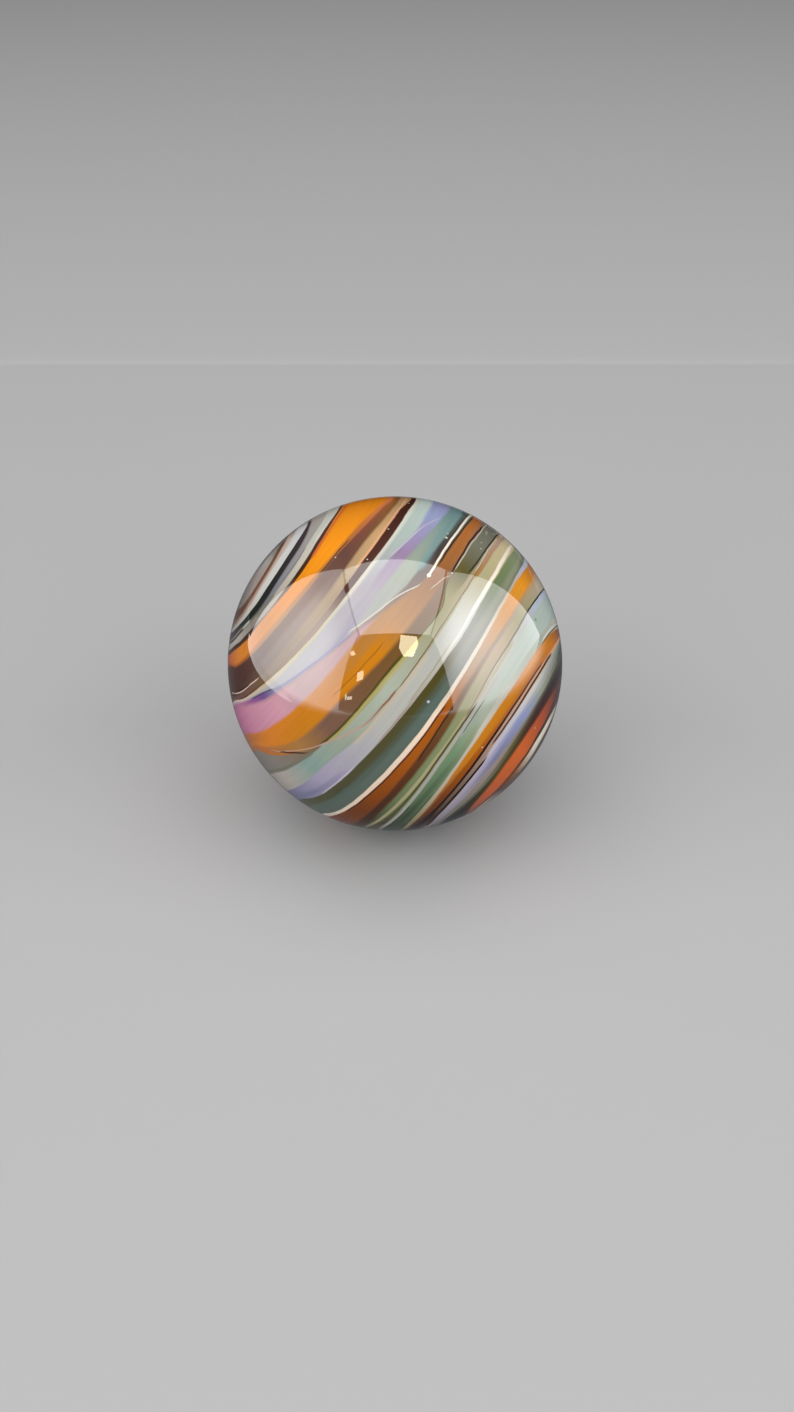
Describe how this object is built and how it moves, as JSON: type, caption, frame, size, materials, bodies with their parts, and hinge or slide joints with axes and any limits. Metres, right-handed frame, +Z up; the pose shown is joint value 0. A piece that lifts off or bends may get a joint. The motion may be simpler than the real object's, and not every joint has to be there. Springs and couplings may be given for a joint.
{
  "type": "glass marble",
  "caption": "Solid swirled glass ball with banded colours and a glossy clear surface, for display in a ring stand, for play or as a weight.",
  "frame": {"origin": "centre of the ball", "axes": "+Z up as displayed, -Y towards the viewer; the swirl's axis leans 55 degrees from +Z towards the viewer's left, a little behind"},
  "size_m": [0.025, 0.025, 0.025],
  "materials": {
    "swirled_glass": "fire-polished and glossy; opaque and clear ribbons of orange, green, mint, lavender, pink, cream and brown glass"
  },
  "bodies": {
    "root": {"marble": "swirled_glass"}
  },
  "joints": []
}
